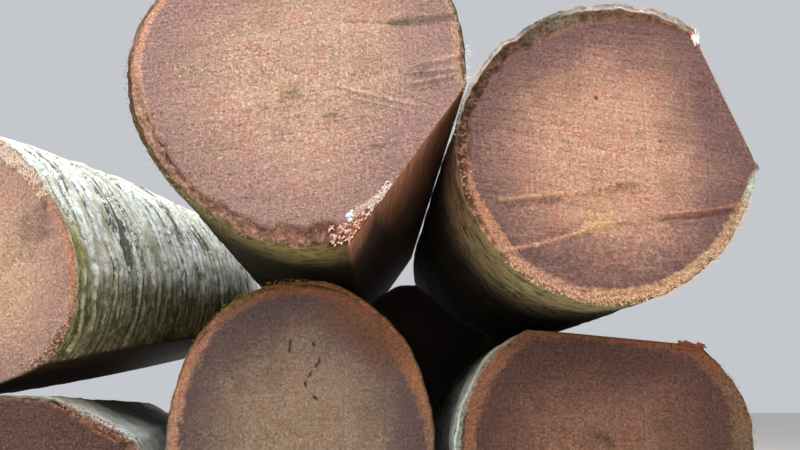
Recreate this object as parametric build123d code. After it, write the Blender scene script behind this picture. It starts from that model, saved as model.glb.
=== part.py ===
from build123d import *
import os
from math import atan, degrees, inf, radians

import numpy as np
from numpy import cos, sin

# A heap of six birch billets, cut to half-metre stock and stacked ends forward.
# Millimetres and degrees. +X is to the right, +Y runs back along the logs and +Z is up.
# Angles round a log start at its right side and go up over the top, seen from the front.

STOCK_LENGTH = 500
MIDDLE_LEFT_LENGTH = 467
CORE_LENGTH = 285
SEAT_GAP = 0.3

# Radius of each sawn front end, how much of it is lost towards the back end, and one log's fuller middle
TOP_LEFT_RADIUS = 108.8
TOP_LEFT_THINS = 10
TOP_RIGHT_RADIUS = 98.5
TOP_RIGHT_THINS = -1
MIDDLE_LEFT_RADIUS = 97.4
MIDDLE_LEFT_THINS = 8
MIDDLE_LEFT_BELLY = 7.4
BOTTOM_LEFT_RADIUS = 103
BOTTOM_LEFT_THINS = 6
BOTTOM_CENTRE_RADIUS = 94
BOTTOM_CENTRE_THINS = -9
BOTTOM_RIGHT_RADIUS = 93.4
BOTTOM_RIGHT_THINS = -2
CORE_RADIUS = 63

# Slabs sawn off along the side: from the pith to the flat, at the front and at the back
TOP_LEFT_FLAT = 87.6
TOP_LEFT_FLAT_BACK = 83
TOP_RIGHT_FLAT = 85
TOP_RIGHT_FLAT_BACK = 84
MIDDLE_LEFT_FLAT = 93
MIDDLE_LEFT_FLAT_BACK = 74
BOTTOM_LEFT_TOP_FLAT = 91.5
BOTTOM_LEFT_SHOULDER_FLAT = 96
BOTTOM_LEFT_UNDER_FLAT = 36
BOTTOM_RIGHT_FLAT = 73
BOTTOM_RIGHT_FLAT_BACK = 126
CORE_LEFT_FLAT = 35
CORE_TOP_FLAT = 46
CORE_RIGHT_FLAT = 42

# How far each face stands behind the foremost one
TOP_LEFT_SETBACK = 0
TOP_RIGHT_SETBACK = 0
MIDDLE_LEFT_SETBACK = 105
BOTTOM_LEFT_SETBACK = 60
BOTTOM_CENTRE_SETBACK = 50
BOTTOM_RIGHT_SETBACK = 45
CORE_SETBACK = 270

# How far the outer logs of the bottom row stand off the middle one
LEFT_ROW_GAP = 8
RIGHT_ROW_GAP = 10.5

# How finely a log is followed when it is laid against its neighbours
SECTIONS = 61
TURN_STEPS = 360
OUTLINE_POINTS = 96
BELLY_STATIONS = (0, 0.17, 0.33, 0.5, 0.67, 0.83, 1)
ROUND = np.arange(TURN_STEPS) * 360 / TURN_STEPS


class Log:
    """One billet: a tapering round, fuller in the middle by its belly, with any slabs sawn off its side."""

    def __init__(
        self, radius, thins, setback, length=STOCK_LENGTH, belly=0, oval=(0, 0), lobe=(0, 0), flats=(), yaw=0, rise=0
    ):
        self.radius = radius
        self.thins = thins
        self.belly = belly
        self.setback = setback
        self.length = length
        self.oval = oval
        self.lobe = lobe
        self.flats = flats
        self.yaw = yaw
        self.rise = rise
        self.x = 0
        self.z = 0

    def round_radius(self, angle, along):
        """Radius of the round log, before any slab is sawn off."""
        oval, oval_at = self.oval
        lobe, lobe_at = self.lobe
        even = self.radius - self.thins * along + self.belly * 4 * along * (1 - along)
        turned = np.radians(angle)
        return even + oval * cos(2 * (turned - radians(oval_at))) + lobe * cos(3 * (turned - radians(lobe_at)))

    def surface(self, angle, along):
        """Points of the finished side in the heap, at angles round the log and shares of its length."""
        turned = np.radians(angle)
        reach = self.round_radius(angle, along)
        for flat_at, front, back in self.flats:
            facing = np.maximum(cos(turned - radians(flat_at)), 1e-6)
            reach = np.minimum(reach, (front + (back - front) * along) / facing)
        across = reach * cos(turned)
        up = reach * sin(turned)
        behind = self.length * along
        tilt = radians(self.rise)
        turn = radians(self.yaw)
        level = behind * cos(tilt) - up * sin(tilt)
        height = behind * sin(tilt) + up * cos(tilt)
        return (
            self.x + across * cos(turn) + level * sin(turn),
            self.setback - across * sin(turn) + level * cos(turn),
            self.z + height,
        )

    def span(self):
        """The nearest and furthest reach of the log along Y."""
        return self.surface(ROUND, 0)[1].min(), self.surface(ROUND, 1)[1].max()

    def section(self, y):
        """The log's outline in the upright plane at y, as rows of x and z."""
        front = self.surface(ROUND, 0)[1]
        back = self.surface(ROUND, 1)[1]
        along = np.clip((y - front) / (back - front), 0, 1)
        x, level, z = self.surface(ROUND, along)
        return np.column_stack([x, z])

    def underside(self):
        return min(self.surface(ROUND, along)[2].min() for along in (0, 0.25, 0.5, 0.75, 1))

    def solid(self):
        """The billet as one solid: its sections lofted, each slab cut off, then laid in its place."""
        sections = []
        for along in BELLY_STATIONS if self.belly else (0, 1):
            points = []
            for angle in np.arange(OUTLINE_POINTS) * 360 / OUTLINE_POINTS:
                reach = self.round_radius(angle, along)
                points.append((reach * cos(radians(angle)), self.length * along, reach * sin(radians(angle))))
            sections.append(make_face(Polyline(*points, close=True)))
        body = loft(sections, ruled=True)
        for flat_at, front, back in self.flats:
            body -= self.slab(flat_at, front, back)
        body = body.rotate(Axis.X, self.rise).rotate(Axis.Z, -self.yaw)
        return body.translate((self.x, self.setback, self.z)).solid()

    def slab(self, flat_at, front, back):
        """The wood sawn off beyond a flat that lies front and back from the pith at the two ends."""
        beyond = 3 * self.radius
        overrun = self.length / 10
        drift = (back - front) / self.length
        outline = Polyline(
            (front - drift * overrun, -overrun),
            (back + drift * overrun, self.length + overrun),
            (beyond, self.length + overrun),
            (beyond, -overrun),
            close=True,
        )
        waste = extrude(make_face(outline), amount=beyond, both=True)
        return waste.rotate(Axis.Y, -flat_at)


def facing_side(outline, across, upper):
    """The upper or lower half of an outline, as positions across and heights, ready to interpolate."""
    places = outline[:, across]
    heights = outline[:, 1 - across]
    count = len(places)
    first = int(np.argmin(places))
    last = int(np.argmax(places))
    one = [step % count for step in range(first, first + (last - first) % count + 1)]
    other = [step % count for step in range(last, last + (first - last) % count + 1)][::-1]
    one_is_upper = np.mean(heights[one]) > np.mean(heights[other])
    chosen = one if one_is_upper == upper else other
    return places[chosen], heights[chosen]


def clearance(log, other, sideways=False):
    """How far a log stands off another, straight down or, sideways, straight to the left."""
    across = 1 if sideways else 0
    front = max(log.span()[0], other.span()[0])
    back = min(log.span()[1], other.span()[1])
    least = inf
    for y in np.linspace(front, back, SECTIONS):
        low_at, low = facing_side(log.section(y), across, False)
        high_at, high = facing_side(other.section(y), across, True)
        places = np.concatenate([low_at, high_at])
        start = max(low_at.min(), high_at.min())
        end = min(low_at.max(), high_at.max())
        places = places[(places >= start) & (places <= end)]
        if len(places):
            gaps = np.interp(places, low_at, low) - np.interp(places, high_at, high)
            least = min(least, gaps.min())
    return least


def lay_on_floor(log):
    """Stand a log on its underside, so that a tapering one tips to lie along the floor."""
    if not any(flat_at == 270 for flat_at, front, back in log.flats):
        log.rise = degrees(atan(-log.thins / log.length))
    log.z -= log.underside()


def stand_right_of(log, other, gap):
    log.x = other.x + 2 * (other.radius + log.radius)
    log.x -= clearance(log, other, sideways=True) - gap


def stand_left_of(log, other, gap):
    log.x = other.x - 2 * (other.radius + log.radius)
    log.x += clearance(other, log, sideways=True) - gap


def lower_onto(log, *others):
    log.z = 4 * log.radius
    log.z -= min(clearance(log, other) for other in others) - SEAT_GAP


def nest_between(log, near, far, left, right):
    """Lay a log in the groove between two others, where it bears on both, at an x from near to far."""
    log.z = 4 * log.radius
    for halving in range(16):
        log.x = (near + far) / 2
        if clearance(log, left) < clearance(log, right):
            near = log.x
        else:
            far = log.x
    lower_onto(log, left, right)


bottom_centre = Log(
    BOTTOM_CENTRE_RADIUS, BOTTOM_CENTRE_THINS, BOTTOM_CENTRE_SETBACK, oval=(7.3, 91), lobe=(1.4, -13), yaw=-7.5
)
lay_on_floor(bottom_centre)

bottom_right = Log(
    BOTTOM_RIGHT_RADIUS,
    BOTTOM_RIGHT_THINS,
    BOTTOM_RIGHT_SETBACK,
    oval=(3.2, 14),
    lobe=(1, 21),
    flats=[(84.7, BOTTOM_RIGHT_FLAT, BOTTOM_RIGHT_FLAT_BACK)],
    yaw=2,
)
lay_on_floor(bottom_right)
stand_right_of(bottom_right, bottom_centre, RIGHT_ROW_GAP)

bottom_left = Log(
    BOTTOM_LEFT_RADIUS,
    BOTTOM_LEFT_THINS,
    BOTTOM_LEFT_SETBACK,
    oval=(5, 40),
    flats=[
        (89, BOTTOM_LEFT_TOP_FLAT, BOTTOM_LEFT_TOP_FLAT),
        (63, BOTTOM_LEFT_SHOULDER_FLAT, BOTTOM_LEFT_SHOULDER_FLAT),
        (270, BOTTOM_LEFT_UNDER_FLAT, BOTTOM_LEFT_UNDER_FLAT),
    ],
    yaw=-7.5,
)
lay_on_floor(bottom_left)
stand_left_of(bottom_left, bottom_centre, LEFT_ROW_GAP)

middle_left = Log(
    MIDDLE_LEFT_RADIUS,
    MIDDLE_LEFT_THINS,
    MIDDLE_LEFT_SETBACK,
    length=MIDDLE_LEFT_LENGTH,
    belly=MIDDLE_LEFT_BELLY,
    oval=(4.4, -51),
    lobe=(3, -39),
    flats=[(290, MIDDLE_LEFT_FLAT, MIDDLE_LEFT_FLAT_BACK)],
    yaw=9.5,
    rise=5.4,
)
nest_between(middle_left, bottom_left.x - middle_left.radius, bottom_left.x, bottom_left, bottom_centre)

top_right = Log(
    TOP_RIGHT_RADIUS,
    TOP_RIGHT_THINS,
    TOP_RIGHT_SETBACK,
    oval=(2.1, 50),
    lobe=(1.1, 39),
    flats=[(21.3, TOP_RIGHT_FLAT, TOP_RIGHT_FLAT_BACK)],
    rise=0.9,
)
top_right.x = bottom_right.x
lower_onto(top_right, bottom_right)

top_left = Log(
    TOP_LEFT_RADIUS,
    TOP_LEFT_THINS,
    TOP_LEFT_SETBACK,
    oval=(1.7, 43),
    lobe=(4.4, 45),
    flats=[(325.2, TOP_LEFT_FLAT, TOP_LEFT_FLAT_BACK)],
    rise=-1.8,
)
nest_between(top_left, bottom_centre.x - top_left.radius / 4, top_right.x, bottom_centre, top_right)

# A thinner split billet with three flats fills the hollow, and slopes down as the bottom row spreads apart
core = Log(
    CORE_RADIUS,
    0,
    CORE_SETBACK,
    length=CORE_LENGTH,
    flats=[
        (205, CORE_LEFT_FLAT, CORE_LEFT_FLAT),
        (49, CORE_TOP_FLAT, CORE_TOP_FLAT),
        (324, CORE_RIGHT_FLAT, CORE_RIGHT_FLAT),
    ],
    yaw=-3.8,
    rise=-7.7,
)
nest_between(core, bottom_centre.x, bottom_right.x, bottom_centre, bottom_right)

heap = {
    "log_top_left": top_left,
    "log_top_right": top_right,
    "log_middle_left": middle_left,
    "log_bottom_left": bottom_left,
    "log_bottom_centre": bottom_centre,
    "log_bottom_right": bottom_right,
    "hidden_core": core,
}
solids = {name: log.solid() for name, log in heap.items()}

# The origin is on the floor, under the middle of the heap
box = Compound(list(solids.values())).bounding_box()
origin = (-box.center().X, -box.center().Y, -box.min.Z)

os.makedirs("parts", exist_ok=True)
for name, solid in solids.items():
    export_step(solid.translate(origin), f"parts/{name}.step")
    log = heap[name]
    print(name, "x", round(log.x, 1), "z", round(log.z, 1), "rise", round(log.rise, 2))
print("origin moved by", [round(value, 2) for value in origin])
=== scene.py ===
import math

import bmesh
import bpy
import numpy as np
from mathutils import Matrix, Vector
from mathutils.bvhtree import BVHTree


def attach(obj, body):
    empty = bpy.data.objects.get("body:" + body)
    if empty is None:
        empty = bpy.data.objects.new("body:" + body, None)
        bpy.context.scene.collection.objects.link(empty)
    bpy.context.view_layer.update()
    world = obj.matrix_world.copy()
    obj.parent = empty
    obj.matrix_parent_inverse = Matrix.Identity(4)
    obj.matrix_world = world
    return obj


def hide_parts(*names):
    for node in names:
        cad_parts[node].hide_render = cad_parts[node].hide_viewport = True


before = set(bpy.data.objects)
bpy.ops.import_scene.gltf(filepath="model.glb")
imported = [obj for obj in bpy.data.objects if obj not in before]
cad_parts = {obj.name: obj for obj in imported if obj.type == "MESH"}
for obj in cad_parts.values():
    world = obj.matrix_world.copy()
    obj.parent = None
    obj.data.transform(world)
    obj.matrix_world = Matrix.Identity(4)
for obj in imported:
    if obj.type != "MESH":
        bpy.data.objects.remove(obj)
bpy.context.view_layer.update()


# TOP LEFT LOG. The largest billet, a round birch log cross-cut with a chain saw and with one slab
# sawn off its lower right side. The bark is thin above, thick and mossy underneath, and gone from
# the sawn side. It lies loose in the groove between the bottom centre and top right logs.


def lattice(across, along, seed, wrap=None):
    """Smooth random relief from -1 to 1 over a sheet, with one lump to each unit of across and along."""
    columns = wrap or int(across.max() - across.min()) + 3
    rows = int(along.max() - along.min()) + 3
    heights = np.random.default_rng(seed).uniform(-1, 1, (rows, columns))
    across = across - (0 if wrap else across.min())
    along = along - along.min()
    column = np.floor(across).astype(int)
    row = np.floor(along).astype(int)
    over = across - column
    up = along - row
    over = over * over * (3 - 2 * over)
    up = up * up * (3 - 2 * up)
    near = heights[row, column % columns] * (1 - over) + heights[row, (column + 1) % columns] * over
    far = heights[row + 1, column % columns] * (1 - over) + heights[row + 1, (column + 1) % columns] * over
    return near * (1 - up) + far * up


def tint(red, green, blue):
    """A colour as the eye sees it, 0 to 255, turned to the light values that the shader takes."""
    levels = [value / 255 for value in (red, green, blue)]
    return tuple(v / 12.92 if v <= 0.04045 else ((v + 0.055) / 1.055) ** 2.4 for v in levels) + (1,)


def stand(name, data):
    """Puts a new object into the scene."""
    made = bpy.data.objects.new(name, data)
    bpy.context.scene.collection.objects.link(made)
    return made


class Billet:
    """A log's CAD solid drawn again in fine rows, which are pushed in and out for relief."""

    def __init__(self, node, columns, rings, rows, crowd=1.7):
        self.node = node
        self.columns = columns
        self.read_solid()
        self.turn_blank(rings, rows)
        self.find_places(crowd)

    def read_solid(self):
        """The solid's end centres and its radius all round at each station, in millimetres."""
        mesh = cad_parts[self.node].data
        corners = [v.co * 1000 for v in mesh.vertices]
        mesh.calc_loop_triangles()
        middles = []
        for facing in (-1, 1):
            weight = 0
            middle = Vector()
            normal = Vector()
            for triangle in mesh.loop_triangles:
                if triangle.normal.y * facing > 0.9:
                    middle += sum((corners[i] for i in triangle.vertices), Vector()) / 3 * triangle.area
                    normal += triangle.normal * triangle.area
                    weight += triangle.area
            middles.append(middle / weight)
        self.axis = normal.normalized()
        self.front, self.back = middles
        self.right = self.axis.cross(Vector((0, 0, 1))).normalized()
        self.up = self.right.cross(self.axis)
        self.length = (self.back - self.front).dot(self.axis)
        tree = BVHTree.FromPolygons(corners, [t.vertices[:] for t in mesh.loop_triangles])
        stations = 11
        self.shares = np.linspace(0.002, 0.998, stations)
        radii = np.zeros((stations, self.columns))
        for station, share in enumerate(self.shares):
            centre = self.front.lerp(self.back, share)
            for column in range(self.columns):
                angle = 2 * math.pi * column / self.columns
                ray = self.right * math.cos(angle) + self.up * math.sin(angle)
                radii[station, column] = tree.ray_cast(centre, ray)[3]
        # the solid's facets are smoothed out, and the sharp edges of its flats are kept
        reach = 6
        sharp = 0.35
        kernel = np.full(2 * reach + 1, 1 / (2 * reach + 1))
        padded = np.hstack([radii[:, -reach:], radii, radii[:, :reach]])
        smooth = np.array([np.convolve(row, kernel, "valid") for row in padded])
        self.radii = np.where(np.abs(radii - smooth) > sharp, radii, smooth)

    def turn_blank(self, rings, rows):
        """Bends a sheet round a plain log: rings over the front face, rows back along it, then the back."""
        back_rings = 5
        count = rings + rows + back_rings
        blank = bmesh.new()
        bmesh.ops.create_grid(blank, x_segments=self.columns, y_segments=count, size=0.5)
        for vert in blank.verts:
            row = round((vert.co.y + 0.5) * count)
            angle = (vert.co.x + 0.5) * 2 * math.pi
            share = min(row / rings, 1, (count - row) / back_rings)
            along = min(max((row - rings) / rows, 0), 1)
            vert.co = (share * math.cos(angle), along, share * math.sin(angle))
        bmesh.ops.remove_doubles(blank, verts=blank.verts, dist=1e-5)
        bmesh.ops.recalc_face_normals(blank, faces=blank.faces)
        self.mesh = bpy.data.meshes.new(self.node + "_detail")
        blank.to_mesh(self.mesh)
        blank.free()

    def find_places(self, crowd):
        """Notes where each vertex lies on the log, round it in turns and otherwise in millimetres."""
        place = np.zeros(len(self.mesh.vertices) * 3)
        self.mesh.vertices.foreach_get("co", place)
        place = place.reshape(-1, 3)
        self.turn = np.arctan2(place[:, 2], place[:, 0]) / (2 * math.pi) % 1
        self.degrees = self.turn * 360
        share = np.clip(np.hypot(place[:, 0], place[:, 2]), 0, 1)
        self.on_front = place[:, 1] < 1e-6
        self.on_back = place[:, 1] > 1 - 1e-6
        # the rings lie closer together toward the rim, and the rows toward the front end
        self.share = np.where(self.on_front, 1 - (1 - share) ** 1.35, share)
        crowded = np.clip(place[:, 1], 0, 1) ** crowd
        self.along = crowded * self.length
        last = len(self.shares) - 1
        station = crowded * last
        low = np.clip(np.floor(station).astype(int), 0, last - 1)
        blend = station - low
        column = self.turn * self.columns
        first = np.floor(column + 1e-6).astype(int)
        aside = column - first
        first %= self.columns
        second = (first + 1) % self.columns
        rings_low = self.radii[low, first] * (1 - aside) + self.radii[low, second] * aside
        rings_high = self.radii[low + 1, first] * (1 - aside) + self.radii[low + 1, second] * aside
        self.radius = rings_low * (1 - blend) + rings_high * blend
        self.depth = self.radius * (1 - self.share)
        self.across = self.radius * self.share * np.cos(self.turn * 2 * math.pi)
        self.height = self.radius * self.share * np.sin(self.turn * 2 * math.pi)
        self.skin_width = 1.4
        self.swell = np.zeros(len(place))
        self.proud = np.zeros(len(place))

    def flat(self, angle):
        """1 where the side is a flat sawn at that angle."""
        reach = self.radius * np.cos(np.radians(self.degrees - angle))
        turns = np.arange(self.columns) * 2 * math.pi / self.columns
        apart = self.radii * np.cos(turns - math.radians(angle))
        furthest = np.interp(self.along / self.length, self.shares, apart.max(axis=1))
        return np.clip(1.6 - (furthest - reach), 0, 1)

    def edge(self, width, slope):
        """Up to 1 at the rim of the sawn face, falling over a slope to 0 at a width in, in millimetres."""
        return np.clip((width - self.depth) / slope, 0, 1) * self.on_front

    def deepening(self, start, slope, most):
        """0 before a start along the log, then rising over a slope in millimetres, no higher than most."""
        return np.clip((self.along - start) / slope, 0, most)

    def lumps(self, size, seed, stretch=1):
        """Random relief over the side, in lumps of a size in millimetres and a stretch along the log."""
        usual_radius = 95
        wrap = max(3, round(2 * math.pi * usual_radius / size))
        return lattice(self.turn * wrap, self.along / (size * stretch), seed, wrap)

    def gnarls(self, seed, middling=0.6, small=0.3):
        """Relief of the bark in millimetres, in wide, middling and small lumps."""
        return self.lumps(34, seed) + self.lumps(9, seed + 1) * middling + self.lumps(3.2, seed + 2) * small

    def sheet(self, size, seed, stretch=1, lean=0):
        """Random relief over the sawn face, in lumps of a size, stretched along a lean in degrees."""
        angle = np.radians(self.degrees - lean)
        reach = self.radius * self.share
        return lattice(reach * np.cos(angle) / (size * stretch), reach * np.sin(angle) / size, seed)

    def round_it(self, *stops):
        """A value all round the log, from pairs of angle and value."""
        angles, values = zip(*stops)
        return np.interp(self.degrees, angles, values, period=360)

    def line(self, start, end, width):
        """1 along a line across the sawn face, fading to 0 at a width in millimetres to either side."""
        run = np.subtract(end, start)
        across = self.across - start[0]
        height = self.height - start[1]
        reach = np.clip((across * run[0] + height * run[1]) / (run @ run), 0, 1)
        away = np.hypot(across - reach * run[0], height - reach * run[1])
        return np.clip(1.15 - away / width, 0, 1) * self.on_front

    def patch(self, across, height, size, wide=1.0):
        """1 at a place on the sawn face, fading raggedly at a size away, or wide times that sideways."""
        away = np.hypot((self.across - across) / wide, self.height - height) / size
        return np.clip(1.3 - away + self.sheet(4, round(size)) * 0.4, 0, 1) * self.on_front

    def bark_edge(self, thickness, rough, seed, gap=1.0):
        """Sets the bark's end back from the wood, roughens it and opens a crack between the two."""
        uneven = self.lumps(11, seed) * 0.16 + self.lumps(5, seed + 7) * 0.12
        self.bark = np.clip(thickness * (1 + uneven), 0, None)
        within = np.clip((self.bark - self.depth) / 1.2 + 0.5, 0, 1) * self.on_front * (thickness > 0.6)
        crumbs = (self.lumps(4, seed + 1) + self.sheet(2.6, seed + 2)) * 0.9 + self.sheet(6, seed + 9) * 0.7
        crack = np.exp(-(((self.depth - self.bark) / 1.2) ** 2)) * self.on_front * (thickness > 2.5)
        open_here = np.clip(0.35 + self.lumps(16, seed + 4) * 1.3, 0, 1) * gap
        self.proud -= within * rough * (1.2 + crumbs) + crack * open_here * 2
        self.crack = crack * open_here
        near_end = np.exp(-self.along / 5) * (thickness > 2)
        ragged = self.lumps(5, seed + 5) * 0.6 + self.lumps(11, seed + 6) * 0.4 - 0.3
        self.swell += near_end * ragged * rough

    def keep(self, **layers):
        """Keeps values from 0 to 1, or lengths in millimetres, for the shader to read."""
        for name, values in layers.items():
            attribute = self.mesh.attributes.new(name, "FLOAT", "POINT")
            attribute.data.foreach_set("value", (values + np.zeros(len(self.turn))).astype(np.float32))

    def keep_tones(self, **layers):
        """Keeps colours that change round the log, each from pairs of angle and colour, 0 to 255."""
        wander = self.degrees + self.lumps(22, 71) * 6 + self.lumps(7, 72) * 3
        for name, stops in layers.items():
            angles, tones = zip(*stops)
            levels = np.array([tint(*tone) for tone in tones])
            parts = [np.interp(wander, angles, level, period=360) for level in levels.T]
            attribute = self.mesh.attributes.new(name, "FLOAT_COLOR", "POINT")
            attribute.data.foreach_set("color", np.column_stack(parts).astype(np.float32).ravel())

    def place(self, face, side):
        """Writes the relief into the mesh, gives the ends and the side a finish, and replaces the solid."""
        angle = self.turn * 2 * math.pi
        reach = self.radius * self.share + self.swell * self.share**9
        across = reach * np.cos(angle)
        up = reach * np.sin(angle)
        behind = self.along - self.proud * np.where(self.on_back, -1, 1)
        slide = (self.back - self.front) / self.length
        spots = (
            np.array(self.front)
            + np.outer(self.along, np.array(slide - self.axis))
            + np.outer(across, np.array(self.right))
            + np.outer(up, np.array(self.up))
            + np.outer(behind, np.array(self.axis))
        )
        self.mesh.vertices.foreach_set("co", (spots / 1000).astype(np.float32).ravel())
        grown = self.mesh.attributes.new("grown", "FLOAT_VECTOR", "POINT")
        grown.data.foreach_set("vector", np.column_stack([across, behind, up]).astype(np.float32).ravel())
        self.keep(depth=self.depth, bark=self.bark, crack=self.crack, skin_width=self.skin_width)
        corners = np.zeros(len(self.mesh.loops), dtype=np.int32)
        self.mesh.loops.foreach_get("vertex_index", corners)
        starts = np.zeros(len(self.mesh.polygons), dtype=np.int32)
        self.mesh.polygons.foreach_get("loop_start", starts)
        on_side = np.logical_or.reduceat(~(self.on_front | self.on_back)[corners], starts)
        self.mesh.materials.append(face)
        self.mesh.materials.append(side)
        self.mesh.polygons.foreach_set("material_index", on_side.astype(np.int32))
        self.mesh.polygons.foreach_set("use_smooth", np.ones(len(starts), dtype=bool))
        self.mesh.update()
        piece = stand(self.node + "_detail", self.mesh)
        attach(piece, "root")
        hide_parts(self.node)

    def fringe(self, name, tone, count, angles, inset, length, thickness, seed, outward, spread, lean=0):
        """Torn fibres: thin tapering strands that start a little in from the rim and point outward."""
        chance = np.random.default_rng(seed)
        strands = bmesh.new()
        for _ in range(count):
            degrees = chance.uniform(*angles)
            angle = math.radians(degrees)
            column = int(degrees % 360 / 360 * self.columns) % self.columns
            root = self.radii[0, column] - chance.uniform(*inset)
            radial = self.right * math.cos(angle) + self.up * math.sin(angle)
            sideways = self.axis.cross(radial)
            heading = radial * outward - self.axis * (1 - outward) * 0.7 + sideways * lean
            heading += (sideways * chance.normal() + radial * chance.normal() * 0.5) * spread
            heading.normalize()
            reach = chance.uniform(0.3, 1) ** 1.5 * length
            middle = self.front + radial * root + heading * reach * 0.4
            turned = heading.to_track_quat("Z", "Y").to_matrix().to_4x4()
            bmesh.ops.create_cone(
                strands,
                cap_ends=True,
                segments=4,
                radius1=thickness * chance.uniform(0.5, 1) / 1000,
                radius2=thickness * 0.12 / 1000,
                depth=reach / 1000,
                matrix=Matrix.Translation(middle / 1000) @ turned,
            )
        mesh = bpy.data.meshes.new(name)
        strands.to_mesh(mesh)
        strands.free()
        mesh.materials.append(fibre(name + "_fibre", tint(*tone)))
        piece = stand(name, mesh)
        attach(piece, "root")


class Tone:
    """A shader socket that can be used in sums."""

    def __init__(self, coat, socket):
        self.coat = coat
        self.socket = socket

    def sum(self, operation, first, second):
        return self.coat.node("Math", {"operation": operation}, {0: first, 1: second})

    def __add__(self, other):
        return self.sum("ADD", self, other)

    def __radd__(self, other):
        return self.sum("ADD", other, self)

    def __sub__(self, other):
        return self.sum("SUBTRACT", self, other)

    def __mul__(self, other):
        return self.sum("MULTIPLY", self, other)

    def __truediv__(self, other):
        return self.sum("DIVIDE", self, other)


class Coat:
    """A material in the making. Sizes are in millimetres across, along and up the log."""

    def __init__(self, name, roughness=0.85):
        self.material = bpy.data.materials.new(name)
        self.material.use_nodes = True
        self.tree = self.material.node_tree
        self.shader = self.tree.nodes["Principled BSDF"]
        self.shader.inputs["Roughness"].default_value = roughness
        self.shader.inputs["Specular IOR Level"].default_value = 0.3

    def node(self, kind, settings=(), sockets=(), out=0):
        made = self.tree.nodes.new("ShaderNode" + kind)
        for name, value in dict(settings).items():
            setattr(made, name, value)
        for name, value in dict(sockets).items():
            if isinstance(value, Tone):
                self.tree.links.new(value.socket, made.inputs[name])
            else:
                made.inputs[name].default_value = value
        return Tone(self, made.outputs[out])

    def kept(self, name, out="Fac"):
        return self.node("Attribute", {"attribute_name": name}, out=out)

    def tone(self, name):
        return self.kept(name, "Color")

    def noise(self, size, detail, roughness, twist=0.0, place=None):
        place = place or self.kept("grown", "Vector")
        scaled = self.node("VectorMath", {"operation": "DIVIDE"}, {0: place, 1: size})
        sockets = {
            "Vector": scaled, "Scale": 1, "Detail": detail, "Roughness": roughness, "Distortion": twist
        }
        return self.node("TexNoise", {}, sockets)

    def step(self, value, low, high):
        """0 below low, 1 above high and a smooth slope between."""
        sockets = {"Value": value, "From Min": low, "From Max": high}
        return self.node("MapRange", {"interpolation_type": "SMOOTHSTEP"}, sockets)

    def mix(self, share, first, second, blend="MIX"):
        settings = {"data_type": "RGBA", "blend_type": blend, "clamp_factor": True}
        return self.node("Mix", settings, {0: share, 6: first, 7: second}, out=2)

    def lit(self, colour, light):
        """The colour made lighter or darker."""
        grey = self.node("CombineColor", {}, {0: light, 1: light, 2: light})
        return self.mix(1.0, colour, grey, "MULTIPLY")

    def wear(self, colour, height, strength=0.75, distance=0.0011):
        """Joins the colour and the relief, in millimetres, to the shader."""
        self.tree.links.new(colour.socket, self.shader.inputs["Base Color"])
        sockets = {"Height": height, "Strength": strength, "Distance": distance}
        bump = self.node("Bump", {}, sockets)
        self.tree.links.new(bump.socket, self.shader.inputs["Normal"])
        return self.material


def fibre(name, tone):
    """Torn wood fibre, paler and darker from strand to strand."""
    coat = Coat(name, 0.8)
    place = coat.node("TexCoord", out=3)
    streak = coat.noise((0.002, 0.004, 0.002), 2, 0.6, 0, place) - 0.5
    return coat.wear(coat.lit(tone, 1.22 + streak * 1.4), streak, 0.2)


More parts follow.
